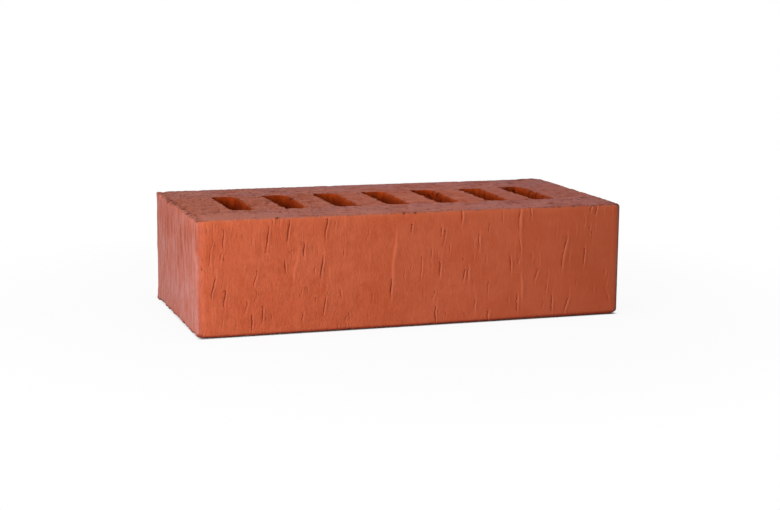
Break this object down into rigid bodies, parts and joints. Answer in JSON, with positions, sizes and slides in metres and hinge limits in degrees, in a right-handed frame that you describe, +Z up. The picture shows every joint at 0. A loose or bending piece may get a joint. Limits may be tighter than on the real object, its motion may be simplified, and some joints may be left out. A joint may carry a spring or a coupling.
{
  "type": "clay brick",
  "caption": "Perforated facing brick of fired red clay: a block with die-rounded upright arrises, wire-cut beds and a row of slots through it from bed to bed.",
  "frame": {"origin": "middle of the brick's lower bed, the face it lies on", "axes": "+X along the length, +Z up through the slots to the upper bed, and the torn facing side looks towards -Y"},
  "size_m": [0.25, 0.12, 0.065],
  "materials": {
    "fired_clay": "matt fired red clay"
  },
  "bodies": {
    "root": {"brick": "fired_clay"}
  },
  "joints": []
}
